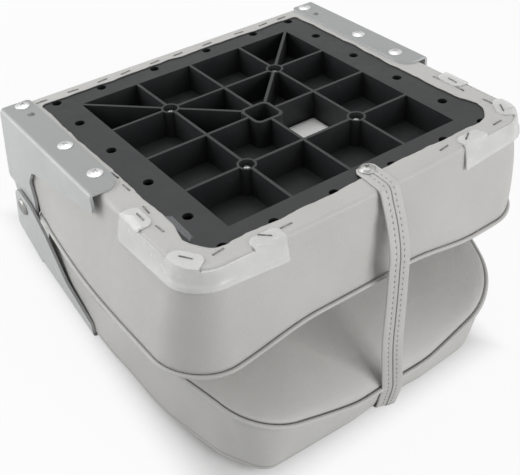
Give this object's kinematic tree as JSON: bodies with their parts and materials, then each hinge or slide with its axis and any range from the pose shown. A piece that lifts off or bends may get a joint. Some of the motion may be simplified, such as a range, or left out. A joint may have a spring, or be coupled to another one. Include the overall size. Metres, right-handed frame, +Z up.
{
  "type": "low back folding chair",
  "caption": "Padded low back folding chair, closed and strapped shut, with a ribbed moulded pan, piped vinyl cushions, steel hinge brackets and arms.",
  "frame": {"origin": "middle of the closed chair's footprint, on the floor under the rear panel of the back", "axes": "+X across the chair, -Y to the front edge of the closed seat, +Z up"},
  "size_m": [0.4164, 0.4068, 0.2509],
  "materials": {
    "vinyl": "satin",
    "foam": "matte",
    "strap": "satin",
    "pan": "satin",
    "frame": "matte",
    "panel": "satin",
    "bracket": "satin",
    "screw": "polished",
    "snap": "polished",
    "rivet": "satin",
    "bush": "matte",
    "guard": "gloss"
  },
  "bodies": {
    "back": {"snap_stud": "snap", "back_frame": "frame", "back_foam": "foam", "back_boxing": "vinyl", "back_panel": "vinyl", "back_piping": "vinyl", "back_rear_panel": "panel", "back_arm_left": "bracket", "back_arm_right": "bracket", "arm_screws_left": "screw", "arm_screws_right": "screw", "pivot_rivet_left": "rivet", "pivot_rivet_right": "rivet", "pivot_washer_left": "bush", "pivot_washer_right": "bush", "pivot_cap_left": "bush", "pivot_cap_right": "bush"},
    "seat": {"seat_pan": "pan", "pan_screws": "screw", "seat_foam": "foam", "seat_boxing": "vinyl", "seat_panel": "vinyl", "seat_piping": "vinyl", "strap_screw": "screw", "strap_washer": "screw", "strap": "strap", "strap_snap": "snap", "corner_guard_left": "guard", "corner_guard_right": "guard", "hinge_bracket_left": "bracket", "hinge_bracket_right": "bracket", "bracket_screws_left": "screw", "bracket_screws_right": "screw"}
  },
  "joints": [
    {"name": "fold", "type": "hinge", "parent": "back", "child": "seat", "pos_m": [0, 0.16236, 0.062], "axis": [-1, 0, 0], "range_deg": [0, 88], "deforming": ["strap", "strap_snap"]}
  ]
}
